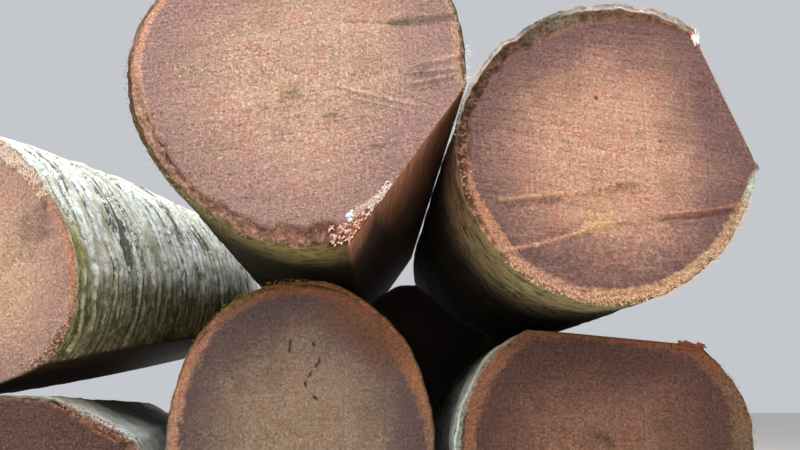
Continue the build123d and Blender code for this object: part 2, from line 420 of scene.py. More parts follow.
def sawn_end(name, heart, ring, heart_size, lean, grit, frost, heart_at=(0, 0), saw=1.0):
    """End grain: a pale heart in a darker damp ring, a rim in its own colours, then inner bark and skin."""
    coat = Coat(name)
    grown = coat.kept("grown", "Vector")
    inward = coat.kept("depth")
    bark = coat.kept("bark")
    measure = {"operation": "DISTANCE"}
    pith = (heart_at[0], 0, heart_at[1])
    off_heart = coat.node("VectorMath", measure, {0: grown, 1: pith}, "Value")
    share = off_heart / (off_heart + inward + 0.5)
    cloud = coat.noise((42, 42, 42), 3, 0.6, 0.4) - 0.5
    patchy = coat.noise((11, 11, 11), 4, 0.65) - 0.5
    damp = coat.step(share + cloud * 0.55 + patchy * 0.3, heart_size - 0.3, heart_size + 0.3)
    drift = coat.noise((26, 26, 26), 3, 0.6, 0.6)
    yellow = coat.step(drift + patchy * 0.5, 0.5, 0.66) * 0.3
    pink = coat.step(drift + patchy * 0.5, 0.5, 0.36) * 0.3
    centre = coat.mix(yellow, tint(*heart), tint(176, 158, 112), "MULTIPLY")
    centre = coat.mix(pink, centre, tint(255, 196, 190), "MULTIPLY")
    colour = coat.mix(damp, centre, tint(*ring))
    ragged = coat.noise((6, 6, 6), 3, 0.65) - 0.5
    crumble = coat.noise((2.7, 2.7, 2.7), 3, 0.7) - 0.5
    dry = coat.step(coat.kept("rim") + ragged * 0.9 + crumble * 0.5, 0.3, 0.72)
    colour = coat.mix(dry * 0.9, colour, coat.tone("rim_tone"))
    pale = coat.step(coat.kept("pale") + ragged * 0.5, 0.15, 0.8)
    colour = coat.mix(pale, colour, coat.tone("pale_tone"))
    dark = coat.step(coat.kept("dark") + ragged * 0.7, 0.15, 0.9)
    colour = coat.mix(dark, colour, coat.tone("dark_tone"))
    # the chain saw's marks: broad bands and fine lines along the lean of the cut
    tilt = {"Vector": grown, "Angle": math.radians(lean)}
    turned = coat.node("VectorRotate", {"rotation_type": "Y_AXIS"}, tilt)
    bands = coat.noise((160, 1, 8), 2, 0.5, 0.2, turned) - 0.5
    lines = coat.noise((24, 1, 2.2), 3, 0.65, 0.6, turned) - 0.5
    # torn pores: pale frosty specks between darker pits, about a millimetre and a half across
    pores = coat.noise((1.7, 1.7, 1.7), 2, 0.75) - 0.5
    grains = coat.noise((3.4, 3.4, 2.6), 3, 0.7) - 0.5
    specks = coat.step(pores, 0.1, 0.24)
    sawn = bands * 0.3 * saw + lines * 0.45 * saw
    torn = pores * 1.8 * grit + grains * 1.0 * grit + specks * frost
    colour = coat.lit(colour, 1 + sawn + torn + patchy * 0.45 + cloud * 0.3)
    # the bark's end, and the crack between bark and wood
    under = coat.step(bark - inward + crumble * 4 + ragged * 2.6, -0.9, 1.3)
    chunks = coat.noise((5.5, 5.5, 5.5), 4, 0.7, 0.8)
    mottled = coat.step(chunks + crumble * 0.4, 0.48, 0.6) * 0.45
    broken = coat.mix(mottled, coat.tone("bast_tone"), coat.tone("rim_tone"))
    broken = coat.lit(broken, 1.15 + crumble * 2.4 + pores * 2.2 + (chunks - 0.5) * 2.2)
    colour = coat.mix(under, colour, broken)
    crack = coat.step(coat.kept("crack") + crumble * 1.8 + ragged * 0.8, 0.45, 1)
    colour = coat.mix(crack * 0.8, colour, tint(52, 46, 36))
    outer = coat.step(inward + crumble * 1.6 - coat.kept("skin_width"), 0.4, -0.4)
    colour = coat.mix(outer, colour, coat.lit(coat.tone("skin"), 1 + crumble * 1.5))
    height = pores * 1.2 * grit + grains * 0.9 * grit + lines * 1.1 * saw + bands * 1.2 * saw
    # painted shade: every sawn end is darkened by a fifth to offset the lamps' stronger light on the ends
    return coat.wear(coat.lit(colour, 0.8), height + under * crumble * 3)


def rough_bark(name, cracks, moss, moss_share, broken, wood=(150, 108, 80)):
    """Outer bark: papery skin with dark bars and cracks, moss, painted shade and some damp deeper in the
    heap, bare wood on a flat.
    """
    coat = Coat(name)
    bars = coat.noise((26, 2.0, 26), 3, 0.6, 0.2)
    breaks = coat.noise((12, 7, 12), 4, 0.7, 0.6)
    mottle = coat.noise((30, 34, 30), 3, 0.6) - 0.5
    fine = coat.noise((1.9, 1.9, 1.9), 3, 0.75) - 0.5
    cracked = coat.step(breaks + mottle * 0.3 + fine * 0.25, 0.6 - broken * 0.2, 0.68 - broken * 0.2)
    colour = coat.mix(cracked * 0.8, coat.tone("skin"), tint(*cracks))
    colour = coat.mix(coat.step(bars, 0.58, 0.66) * 0.7, colour, tint(44, 36, 28))
    growth = coat.noise((13, 18, 13), 4, 0.7)
    mossy = coat.step(growth + mottle * 0.4, 0.66 - moss_share * 0.3, 0.82 - moss_share * 0.3)
    colour = coat.mix(mossy * 0.8, colour, tint(*moss))
    streaks = coat.noise((2.6, 60, 2.6), 3, 0.65) - 0.5
    colour = coat.mix(coat.kept("bare"), colour, coat.lit(tint(*wood), 1 + streaks * 1.8))
    colour = coat.lit(colour, 1.22 + fine * 1.6 + mottle * 0.9)
    # painted shade: the bark turns near black deeper in the heap and on its undersides, where little light
    # reaches between the logs, with some damp bark
    colour = coat.mix(coat.kept("damp"), colour, tint(34, 27, 23))
    height = cracked * -1.4 + breaks * 1.5 - coat.step(bars, 0.54, 0.64) * 0.8 + fine * 1.1
    return coat.wear(colour, height, 0.8, 0.0012)


log = Billet("log_top_left", columns=420, rings=84, rows=90)
slab_faces = 325.2
slab = log.flat(slab_faces)
bark = log.round_it(
    (3, 4), (13, 2.5), (60, 4), (150, 2), (172, 3), (182, 5), (190, 9), (212, 11), (230, 9.5), (245, 9.2),
    (262, 11), (276, 12.5), (284, 15), (291, 9.4), (298, 3.5), (304, 0), (354, 0)
)
log.swell = (log.gnarls(3) - 1) * (1 - slab)
log.proud = log.sheet(26, 6, 3, 12) * 0.5 + log.sheet(5, 7, 5, 12) * 0.15
rough = log.round_it((150, 0.5), (185, 0.9), (210, 1.2), (270, 1.5), (290, 1.6), (300, 0.6), (10, 0.7))
log.bark_edge(bark, rough, seed=8, gap=0.7)
scores = (
    log.line((22.8, -7.2), (76.9, -20.1), 1.7)
    + log.line((34, -15), (80, -25), 1.6) * 0.7
    + log.line((75, -4.4), (99.6, 0.8), 1.8)
    + log.line((75, 2.5), (102.9, 6.4), 1.8)
    + log.line((77, 8.8), (105.6, 15.5), 1.8)
    + log.line((55, 38), (92, 58), 2) * 0.6
)
smudges = (
    log.patch(-0.5, -13, 8, 1.5) * 0.55
    + log.patch(8, 26, 12, 1.2) * 0.35
    + log.patch(23, -29, 8, 1.3) * 0.5
    + log.patch(-21.5, -22, 7, 1.4) * 0.3
    + log.patch(82, 0, 12, 1.2) * 0.35
    + log.patch(84, 14, 30, 0.6) * 0.2
    + log.line((62, 36.5), (103, 43), 5) * 0.8
    + log.line((24, 37.5), (72, 37), 1.4) * 0.5
)
log.skin_width = log.round_it(
    (150, 1), (180, 2), (200, 3.4), (240, 2.6), (270, 1.6), (300, 0.2), (350, 0.2), (10, 1)
)
log.proud += scores * 0.9 - log.line((24, 37.5), (72, 37), 1.6) * 0.8
rim_width = bark + log.round_it(
    (150, 8), (178, 9), (192, 6), (215, 3.5), (290, 2), (310, 1), (350, 2), (4, 9), (14, 9), (30, 5)
)
# painted shade: the bark darkens further back along the log, most on its lower side, where the logs around
# keep the light off
damp_starts = log.round_it((0, 40), (200, 30), (240, 12), (292, 8), (300, -30), (312, 20), (330, 40))
damp_slope = log.round_it((0, 250), (200, 120), (250, 60), (300, 80), (325, 240))
damp_share = log.round_it((0, 0.5), (60, 0), (180, 0.4), (230, 0.9), (310, 1), (325, 0.85))
white_lip = log.line((36, -93), (61, -73.5), 2.6) * 0.9 + log.line((36, -98), (42, -99), 3)
log.keep(
    bare=slab,
    rim=log.edge(rim_width, 6),
    pale=np.clip(scores * 0.55 + white_lip, 0, 1),
    dark=smudges,
    damp=log.deepening(damp_starts, damp_slope, 0.9) * damp_share,
)
log.keep_tones(
    rim_tone=(
        (0, (192, 152, 124)), (60, (200, 160, 134)), (170, (222, 166, 138)), (196, (196, 154, 128)),
        (215, (176, 130, 116)), (300, (170, 126, 118))
    ),
    pale_tone=((0, (214, 178, 158)), (280, (206, 190, 182)), (300, (206, 188, 176))),
    dark_tone=((0, (122, 100, 92)), (60, (128, 104, 84)), (200, (132, 106, 78)), (300, (116, 104, 76))),
    bast_tone=(
        (0, (110, 86, 66)), (60, (120, 98, 78)), (168, (176, 132, 112)), (182, (182, 140, 116)),
        (200, (184, 142, 122)), (236, (150, 114, 90)), (262, (148, 104, 84)), (276, (130, 90, 72)),
        (283, (122, 82, 66)), (290, (206, 138, 114)), (298, (176, 120, 92))
    ),
    skin=(
        (10, (96, 86, 70)), (60, (150, 142, 124)), (170, (160, 128, 106)), (186, (104, 82, 60)),
        (205, (92, 78, 52)), (240, (114, 106, 64)), (270, (138, 126, 74)), (292, (104, 76, 50)),
        (325, (150, 104, 76))
    ),
)
log.place(
    sawn_end(
        "top_left_sawn_end", heart=(206, 170, 146), ring=(170, 133, 124), heart_size=0.6, heart_at=(4, 6),
        lean=12, grit=1.15, frost=0.6
    ),
    rough_bark(
        "top_left_bark", cracks=(76, 62, 44), moss=(112, 108, 60), moss_share=0.3, broken=0.35,
        wood=(168, 114, 84)
    ),
)
log.fringe(
    "top_left_splinters", (216, 176, 158), count=130, angles=(282, 297), inset=(1, 13), length=4,
    thickness=0.7, seed=11, outward=0.3, spread=0.6, lean=0.3
)
log.fringe(
    "top_left_flakes", (206, 212, 220), count=9, angles=(289.5, 292.5), inset=(10, 15), length=6,
    thickness=1.8, seed=12, outward=0.25, spread=0.3, lean=-0.3
)
log.fringe(
    "top_left_torn_lip", (206, 188, 178), count=60, angles=(297, 310), inset=(1, 5), length=4, thickness=0.9,
    seed=13, outward=0.3, spread=0.3, lean=0.6
)
log.fringe(
    "top_left_tufts", (232, 226, 220), count=36, angles=(358, 372), inset=(-1, 2), length=6, thickness=0.16,
    seed=14, outward=0.9, spread=0.5, lean=0.3
)
log.fringe(
    "top_left_hairs", (140, 112, 88), count=120, angles=(150, 262), inset=(0, 3), length=2.6, thickness=0.4,
    seed=15, outward=0.6, spread=0.4
)


# TOP RIGHT LOG. A round birch billet with a slab sawn off its right side. It keeps a band of papery
# white bark over dark inner bark at the top, and its lower half shows two ridges where the saw was
# turned. It lies on the sawn top of the bottom right log.

log = Billet("log_top_right", columns=420, rings=84, rows=90)
slab_faces = 21.3
slab = log.flat(slab_faces)
bark = log.round_it(
    (52, 3), (66, 7), (86, 10), (105, 11.5), (118, 13), (128, 11), (140, 10), (155, 9.5), (167, 8), (185, 8),
    (200, 5.5), (215, 3.5), (225, 2), (300, 2), (336, 3), (344, 6.5), (350, 4), (356, 0), (45, 0)
)
log.swell = (log.gnarls(103) - 1) * (1 - slab)
papery = np.exp(-log.along / 30) * log.round_it((48, 0), (60, 1), (150, 1), (166, 0))
log.swell += papery * 0.3
log.proud = log.sheet(26, 106, 3, -10) * 0.4 + log.sheet(4, 107, 9, -10) * 0.15
rough = log.round_it((60, 1), (110, 1.6), (160, 1.3), (200, 0.8), (260, 0.5), (340, 0.8))
log.bark_edge(bark, rough, seed=108, gap=0.5)
log.skin_width = log.round_it(
    (50, 1.2), (60, 3.4), (86, 3.6), (100, 3), (112, 1.5), (124, 3), (150, 2.6), (165, 2), (176, 0.8),
    (336, 1), (345, 4.5), (352, 1)
)
log.proud += papery * (log.depth < log.skin_width + 0.8) * 3.2
turns = (
    log.line((-67.7, -32.9), (-16.7, -27.3), 1.8) * 1.1
    + log.line((-16.7, -27.3), (8.3, -21.9), 1.8) * 0.8
    + log.line((-72, -66), (-45.5, -61.2), 2.2)
    + log.line((-45.5, -61.2), (-12, -51.5), 2)
    + log.line((-12, -51.5), (0, -48.6), 2) * 0.9
    + log.line((36, -42), (84, -35.5), 1.6)
)
# the trenches under the ridges are sunk and also darkened as painted shade in the groove
shaded_trench = log.line((34, -44.5), (83, -39.5), 1.8) + log.line((-62, -37.5), (-30, -32), 1.8) * 0.7
lower = np.clip((-log.height - 47 + log.across * 0.16) / 3, 0, 1) * log.on_front
furrow = 4.4
ploughed = np.clip((-log.height - 62) / 12, 0, 1)
ploughed *= np.sin(log.height * 2 * math.pi / furrow - log.across * 0.11)
log.proud += turns * 1.3 - shaded_trench * 1.2 - lower * 0.8 + ploughed * 0.22 * log.on_front
rim_width = log.round_it(
    (50, 2), (60, 6), (86, 15), (118, 18), (140, 13), (166, 11), (195, 12), (213, 15), (232, 12), (255, 13),
    (275, 13), (303, 12), (336, 11), (347, 6), (352, 1), (45, 1)
)
yellowed = log.patch(-9, -40, 14, 1.6) * 0.45 + log.line((-12, -49), (2, -47), 4) * 0.7
knots = (
    log.patch(-3.6, 34.9, 1.4)
    + log.patch(36.1, 6.6, 1.2) * 0.8
    + log.patch(10.6, -25.1, 6, 2.2) * 0.5
    + log.patch(6, 22, 14, 1.6) * 0.22
)
# painted shade: the bark darkens further back along the log on its left and lower side, where the logs
# around keep the light off
damp_starts = log.round_it((160, 10), (180, 26), (200, 50), (250, 60), (280, 50), (300, 20), (60, 60))
damp_share = log.round_it((100, 0), (170, 0.9), (300, 1), (345, 0.7), (20, 0))
log.keep(
    bare=slab,
    rim=log.edge(rim_width, 6),
    pale=np.clip(turns * 0.58 + yellowed, 0, 1),
    dark=shaded_trench * 0.55 + knots + np.clip(ploughed, 0, 1) * 0.28 * log.on_front,
    damp=log.deepening(damp_starts, 70, 0.93) * damp_share,
)
log.keep_tones(
    rim_tone=(
        (60, (158, 112, 84)), (90, (148, 104, 86)), (130, (144, 104, 88)), (165, (176, 124, 92)),
        (195, (196, 142, 108)), (215, (206, 152, 116)), (240, (196, 148, 124)), (275, (206, 160, 124)),
        (310, (204, 168, 132)), (340, (186, 148, 116)), (20, (156, 124, 112))
    ),
    pale_tone=(
        (0, (180, 132, 110)), (200, (214, 164, 130)), (240, (220, 168, 130)), (270, (210, 168, 122)),
        (330, (184, 128, 102))
    ),
    dark_tone=((0, (96, 62, 50)), (90, (96, 74, 64)), (270, (104, 84, 66)), (335, (120, 62, 40))),
    bast_tone=(
        (50, (190, 146, 116)), (66, (150, 110, 82)), (86, (136, 104, 82)), (106, (140, 128, 106)),
        (120, (112, 86, 66)), (150, (84, 60, 46)), (168, (72, 50, 38)), (192, (86, 56, 42)),
        (206, (132, 90, 66)), (217, (168, 122, 92)), (250, (176, 132, 100)), (300, (206, 172, 138)),
        (336, (196, 172, 142)), (345, (176, 178, 162))
    ),
    skin=(
        (40, (196, 180, 170)), (70, (232, 216, 208)), (104, (206, 200, 190)), (112, (150, 152, 136)),
        (122, (226, 208, 200)), (150, (228, 216, 208)), (172, (104, 84, 68)), (196, (140, 116, 84)),
        (235, (160, 146, 104)), (265, (156, 142, 98)), (290, (110, 96, 66)), (310, (150, 126, 98)),
        (340, (206, 206, 188))
    ),
)
log.place(
    sawn_end(
        "top_right_sawn_end", heart=(208, 161, 135), ring=(125, 92, 87), heart_size=0.6, heart_at=(4, -8),
        lean=-8, grit=1.1, frost=0.4, saw=1.3
    ),
    rough_bark(
        "top_right_bark", cracks=(52, 44, 34), moss=(92, 92, 54), moss_share=0.3, broken=0.35,
        wood=(170, 142, 122)
    ),
)
log.fringe(
    "top_right_shag", (212, 174, 140), count=900, angles=(228, 342), inset=(0, 6), length=2.8, thickness=0.3,
    seed=111, outward=0.4, spread=0.3
)
log.fringe(
    "top_right_crumbs", (182, 134, 110), count=90, angles=(186, 230), inset=(2, 12), length=2, thickness=0.7,
    seed=112, outward=0.15, spread=0.4
)
log.fringe(
    "top_right_tuft", (238, 228, 222), count=26, angles=(48, 52), inset=(0, 3), length=10, thickness=0.4,
    seed=113, outward=1, spread=0.2, lean=-0.5
)
log.fringe(
    "top_right_tip", (206, 134, 112), count=12, angles=(52, 55), inset=(0, 4), length=4, thickness=0.8,
    seed=114, outward=0.7, spread=0.25, lean=-0.4
)
log.fringe(
    "top_right_hairs", (222, 210, 202), count=16, angles=(140, 176), inset=(-1, 2), length=5, thickness=0.14,
    seed=115, outward=0.8, spread=0.4
)


# MIDDLE LEFT LOG. A birch billet with its white papery bark still on, split into rings that have
# curled and peeled round the log, mossy near the end and dark underneath. One slab is off its
# underside. It leans on the bottom left log in front and on the bottom centre log behind.

log = Billet("log_middle_left", columns=360, rings=45, rows=215, crowd=1.35)
slab_faces = 290
slab = log.flat(slab_faces)
bark = log.round_it(
    (354, 3), (10, 3), (35, 5), (51, 11), (65, 14), (90, 10), (200, 4), (268, 2), (276, 0), (306, 0),
    (320, 9), (332, 6), (345, 3)
)
chance = np.random.default_rng(31)
level = log.lumps(26, 33, 4) * 3 + log.lumps(9, 34, 3) * 1.3
lips = np.zeros(len(log.turn))
cracks = np.zeros(len(log.turn))
sheets = np.zeros(len(log.turn))
peel = np.zeros(len(log.turn))
# rings of bark one after another along the log, each lifted at its front edge, with a crack before it;
# the crack is darkened as painted shadow under the lip
spot = -4.0
while spot < log.length:
    width = chance.uniform(6, 16)
    seed = int(chance.integers(1, 9999))
    behind = log.along + level - spot
    within = np.clip(behind / 0.9, 0, 1) * np.clip((width - behind) / 0.9 + 1, 0, 1)
    around = lattice(log.turn * 16, log.along * 0, seed, 16)
    raised = np.clip(0.75 + 0.8 * lattice(log.turn * 9, log.along * 0, seed + 1, 9), 0.1, 1.5)
    lips = np.maximum(lips, within * raised * np.exp(-np.clip(behind, 0, None) / 3.2))
    peel += within * raised * (1 - np.clip(behind / width, 0, 1)) ** 1.2
    cracks += np.exp(-(((behind + 0.9) / 1.2) ** 2)) * np.clip(raised + around * 0.8 - 0.45, 0, 1)
    sheets = np.where(behind > 0, around + chance.uniform(-0.5, 0.5), sheets)
    spot += width
side = ~(log.on_front | log.on_back)
uneven = log.lumps(30, 23) * 1.1 + log.lumps(7, 24) * 0.5
log.swell = (peel * 2.2 + uneven - cracks * 1.4 - 1.7) * (1 - slab)
log.proud = log.sheet(26, 26, 3, 40) * 0.5
rough = log.round_it((354, 0.5), (30, 0.9), (60, 1.6), (320, 1.5), (335, 0.8))
log.bark_edge(bark, rough, seed=28, gap=0.2)
column = np.exp(-(((log.along + level * 0.6 - 84) / 9) ** 2))
column *= log.round_it((74, 0), (60, 1.1), (40, 1.2), (5, 0.8), (350, 0.3), (340, 0))
blotch = np.exp(-(((log.along - 27) / 5) ** 2))
blotch *= log.round_it((49, 0), (45, 1), (39, 1), (35, 0))
near_face = np.exp(-((log.along / 26) ** 2))
mouldy = log.round_it((50, 0), (32, 0.5), (8, 0.85), (352, 1), (325, 1), (300, 0.2))
rim_width = log.round_it((354, 9), (20, 7), (51, 16), (65, 20), (100, 12), (276, 2), (310, 4), (330, 8))
low = log.round_it((30, 0), (12, 0.14), (358, 0.36), (344, 0.74), (330, 0.95), (310, 1), (200, 1), (170, 0))
log.keep(
    bare=slab,
    lift=lips * side,
    split=cracks * side,
    leaf=sheets * 0.5 + 0.5,
    scar=np.clip(column + blotch * 1.4, 0, 1) * side,
    low=low,
    mould=near_face * mouldy * side,
    rim=log.edge(rim_width, 4),
    pale=0,
    dark=log.patch(60, 22, 16, 1.4) * 0.55 + log.patch(70, 40, 8) * 0.5,
)
log.keep_tones(
    rim_tone=(
        (354, (214, 152, 116)), (20, (204, 148, 116)), (45, (196, 146, 122)), (60, (206, 166, 146)),
        (300, (200, 168, 146)), (330, (206, 166, 146))
    ),
    pale_tone=((0, (220, 190, 160)),),
    dark_tone=((0, (140, 108, 96)), (60, (140, 108, 100))),
    bast_tone=(
        (354, (186, 134, 104)), (20, (180, 136, 110)), (40, (236, 214, 194)), (60, (250, 234, 218)),
        (320, (170, 126, 102)), (335, (136, 90, 66))
    ),
    skin=((0, (196, 194, 160)), (45, (236, 234, 222)), (330, (120, 100, 64))),
)


def peeling_bark(name):
    """White papery birch bark: torn layers with bright lifted lips, splits darkened as painted shadow,
    scars, lichen and moss.
    """
    coat = Coat(name, 0.65)
    mottle = coat.noise((24, 9, 24), 4, 0.65, 0.4) - 0.5
    fine = coat.noise((2.2, 1.1, 2.2), 3, 0.75) - 0.5
    leaf = coat.kept("leaf")
    lift = coat.kept("lift")
    low = coat.kept("low")
    # the paper comes off in layers, each torn off along a ragged line that runs round the log
    layers = coat.noise((48, 17, 48), 5, 0.6, 0.5) * 13
    layer = coat.node("Math", {"operation": "FLOOR"}, {0: layers})
    edge = layers - layer
    torn = coat.node("TexWhiteNoise", {"noise_dimensions": "1D"}, {"W": layer})
    colour = coat.mix(coat.step(torn + mottle * 0.8, 0.15, 0.6), tint(186, 192, 170), tint(240, 242, 236))
    colour = coat.mix(
        coat.step(leaf + torn * 0.5 + mottle * 0.6, 0.9, 1.15) * 0.8, colour, tint(222, 236, 240)
    )
    colour = coat.mix(coat.step(leaf + mottle * 0.8, 0.3, 0.1) * 0.75, colour, tint(178, 184, 158))
    bars = coat.noise((12, 2.4, 12), 3, 0.65, 0.3)
    colour = coat.mix(coat.step(bars, 0.62, 0.68) * 0.7, colour, tint(130, 134, 110))
    shade = coat.step(edge, 0.26, 0.05) * coat.step(torn, 0.2, 0.4)
    colour = coat.mix(shade * 0.55, colour, tint(82, 86, 66))
    freckles = coat.noise((4.5, 2, 4.5), 4, 0.8)
    spread = coat.noise((60, 26, 60), 3, 0.65) - 0.5
    lichen = coat.step(freckles + spread * 1.2, 0.6, 0.65)
    colour = coat.mix(lichen * 0.88, colour, tint(50, 54, 38))
    tan = coat.noise((11, 5, 11), 3, 0.7)
    colour = coat.mix(coat.step(tan + mottle * 0.5, 0.54, 0.66) * 0.6, colour, tint(176, 172, 132))
    dirt = coat.noise((8, 9, 8), 5, 0.78) - 0.5
    speckle = coat.noise((4.4, 3, 4.4), 4, 0.8) - 0.5
    scar = coat.step(coat.kept("scar") + speckle * 1.7 + dirt * 0.8, 0.6, 0.78)
    black = coat.mix(coat.step(speckle, -0.12, 0.08), tint(40, 42, 30), tint(122, 120, 100))
    colour = coat.mix(scar, colour, black)
    mould = coat.step(coat.kept("mould") + dirt * 2.2, 0.35, 0.7) * 0.85
    green = coat.mix(coat.step(speckle, -0.1, 0.12), tint(120, 112, 56), tint(186, 180, 110))
    colour = coat.mix(mould, colour, green)
    # toward the underside the bark turns first olive, then brown
    streak = coat.noise((24, 6.5, 24), 4, 0.7) - 0.5
    olive = coat.mix(coat.step(streak + speckle * 0.8, -0.08, 0.1), tint(92, 88, 52), tint(184, 186, 150))
    colour = coat.mix(coat.step(low + dirt * 0.8 + streak * 1.1, 0.3, 0.62) * 0.92, colour, olive)
    brown = coat.mix(coat.step(speckle + streak, -0.12, 0.12), tint(46, 42, 24), tint(136, 120, 80))
    colour = coat.mix(coat.step(low + dirt * 0.7 + streak * 0.6, 0.82, 1.12) * 0.9, colour, brown)
    # darker patches still toward the underside
    darker_underneath = coat.step(low, 0.3, 0.6) * coat.step(streak + dirt * 0.6, -0.1, -0.2)
    colour = coat.mix(darker_underneath * 0.8, colour, tint(40, 38, 24))
    lip = coat.step(lift + streak, 0.4, 0.95) * coat.step(low, 0.95, 0.3)
    colour = coat.mix(lip * 0.7, colour, tint(246, 248, 244))
    # the splits before the lifted lips are darkened as painted shadow under the lips, over the cracks
    # themselves
    split = coat.step(coat.kept("split") + fine * 1.6 + streak * 1.4, 0.38, 0.66)
    colour = coat.mix(split * 0.8, colour, tint(54, 58, 42))
    colour = coat.lit(colour, 1.08 + low * 0.5 + fine * 1.7 + mottle * 0.5)
    streaks = coat.noise((2.6, 60, 2.6), 3, 0.65) - 0.5
    colour = coat.mix(coat.kept("bare"), colour, coat.lit(tint(88, 62, 42), 1 + streaks * 1.8))
    height = layer * 0.7 + mottle * 0.8 + fine * 0.6 - coat.step(freckles, 0.62, 0.72) * 0.6
    return coat.wear(colour, height, 0.8, 0.0012)


log.place(
    sawn_end(
        "middle_left_sawn_end", heart=(230, 192, 160), ring=(198, 158, 142), heart_size=0.6,
        heart_at=(20, -10), lean=40, grit=1.0, frost=0.6
    ),
    peeling_bark("middle_left_bark"),
)
log.fringe(
    "middle_left_torn_rim", (236, 220, 206), count=420, angles=(34, 92), inset=(0, 12), length=4,
    thickness=0.6, seed=31, outward=0.4, spread=0.35
)
log.fringe(
    "middle_left_crumbs", (200, 168, 148), count=150, angles=(308, 334), inset=(1, 9), length=2,
    thickness=0.7, seed=32, outward=0.2, spread=0.4
)
log.fringe(
    "middle_left_hairs", (214, 160, 128), count=140, angles=(338, 392), inset=(0, 3), length=2,
    thickness=0.5, seed=33, outward=0.5, spread=0.4
)


# BOTTOM LEFT LOG. A flatter birch billet, sawn underneath, flat on top and bruised along its right
# shoulder, with pale grey-blue bark. It stands on the floor and carries the middle left log.

log = Billet("log_bottom_left", columns=380, rings=50, rows=80, crowd=1.5)
under_faces = 270
under = log.flat(under_faces)
bark = log.round_it(
    (20, 8), (27, 7), (40, 5), (59, 3), (75, 2), (110, 2), (180, 5), (240, 2), (250, 0), (290, 0), (300, 3),
    (350, 6)
)
log.swell = (log.gnarls(203, small=0.25) - 1) * (1 - under)
log.proud = log.sheet(26, 206, 3, 0) * 0.5
rough = log.round_it((0, 1.4), (30, 1.8), (60, 1), (100, 0.7), (200, 1))
log.bark_edge(bark, rough, seed=208)
rim_width = log.round_it((0, 11), (27, 13), (40, 12), (59, 9), (80, 7), (180, 8), (270, 4))
# painted shade: the bark darkens from 40 mm back along the log, where the heap keeps the light off
damp_share = log.round_it((30, 0.3), (60, 0.4), (80, 0.8), (120, 1), (200, 0.5), (300, 1), (10, 0.5))
log.keep(
    bare=under,
    rim=log.edge(rim_width, 8),
    pale=0,
    dark=0,
    damp=log.deepening(40, 120, 0.9) * damp_share,
)
# these end tones, and the heart and ring given below, are darker than the top logs' ends: painted shade
# under the logs above, with some dirt
log.keep_tones(
    rim_tone=(
        (0, (150, 108, 86)), (27, (160, 116, 92)), (59, (142, 100, 78)), (90, (116, 80, 70)),
        (180, (104, 74, 60))
    ),
    pale_tone=((0, (150, 120, 100)),),
    dark_tone=((0, (60, 44, 40)),),
    bast_tone=(
        (0, (150, 112, 90)), (27, (168, 128, 106)), (45, (152, 104, 80)), (65, (112, 78, 62)),
        (180, (84, 64, 50))
    ),
    skin=(
        (0, (190, 198, 196)), (35, (196, 204, 202)), (60, (168, 166, 154)), (85, (112, 102, 88)),
        (180, (130, 128, 118))
    ),
)
log.place(
    sawn_end(
        "bottom_left_sawn_end", heart=(110, 80, 72), ring=(102, 72, 66), heart_size=0.5, lean=5, grit=1.6,
        frost=0.3, saw=0.7
    ),
    rough_bark(
        "bottom_left_bark", cracks=(112, 104, 90), moss=(122, 120, 92), moss_share=0.2, broken=0.35,
        wood=(110, 82, 60)
    ),
)
log.fringe(
    "bottom_left_splinters", (150, 112, 92), count=120, angles=(12, 62), inset=(0, 6), length=3,
    thickness=0.9, seed=211, outward=0.4, spread=0.4
)


# BOTTOM CENTRE LOG. A plain round birch billet, its end browned and drying to a pale heart, with
# drying checks near the top and a mossy rim. It stands on the floor and carries two logs above.

log = Billet("log_bottom_centre", columns=400, rings=64, rows=60)
bark = log.round_it((20, 2), (60, 2.5), (90, 3), (120, 3.5), (150, 2.5), (180, 2), (270, 3))
log.swell = log.gnarls(303, middling=0.5) - 1
log.swell += log.round_it((20, 0), (40, 0.7), (70, 0.7), (90, 0))
log.proud = log.sheet(26, 306, 3, 5) * 0.4 + log.sheet(5, 307, 5, 5) * 0.12
log.bark_edge(bark, rough=log.round_it((0, 0.5), (110, 0.9), (180, 0.5)), seed=308)
checks = (
    log.line((-9, 62), (-9.5, 54), 1.2)
    + log.line((5, 62), (10, 50), 1.3)
    + log.line((10, 48), (3, 38), 1.2)
    + log.line((-1, 42), (2, 32), 1.2)
    + log.line((4, 29), (9, 24), 1.3)
) * np.clip(0.5 + log.sheet(2.4, 309) * 1.6, 0, 1)
log.proud -= checks * 1.2
rim_width = log.round_it(
    (0, 13), (28, 18), (53, 21), (76, 18), (92, 16), (116, 16), (130, 14), (139, 16), (162, 14), (180, 15),
    (270, 14)
)
# a darker brown band in from the top of the end: the end's own browning, with painted shadow from the top
# left log above
browned_and_shaded_top = log.edge(40, 14) * log.round_it((20, 0), (40, 0.5), (56, 0.62), (76, 0.56), (100, 0))
# painted shade: the bark darkens from 15 mm back along the log, where the heap keeps the light off
damp_share = log.round_it((30, 0.8), (90, 0.7), (130, 0.4), (180, 0.3), (230, 0.7), (300, 1))
log.keep(
    rim=log.edge(rim_width, 13),
    pale=browned_and_shaded_top + log.line((52, -38), (86, -20), 5) * 0.25,
    dark=checks,
    damp=log.deepening(15, 60, 0.85) * damp_share,
)
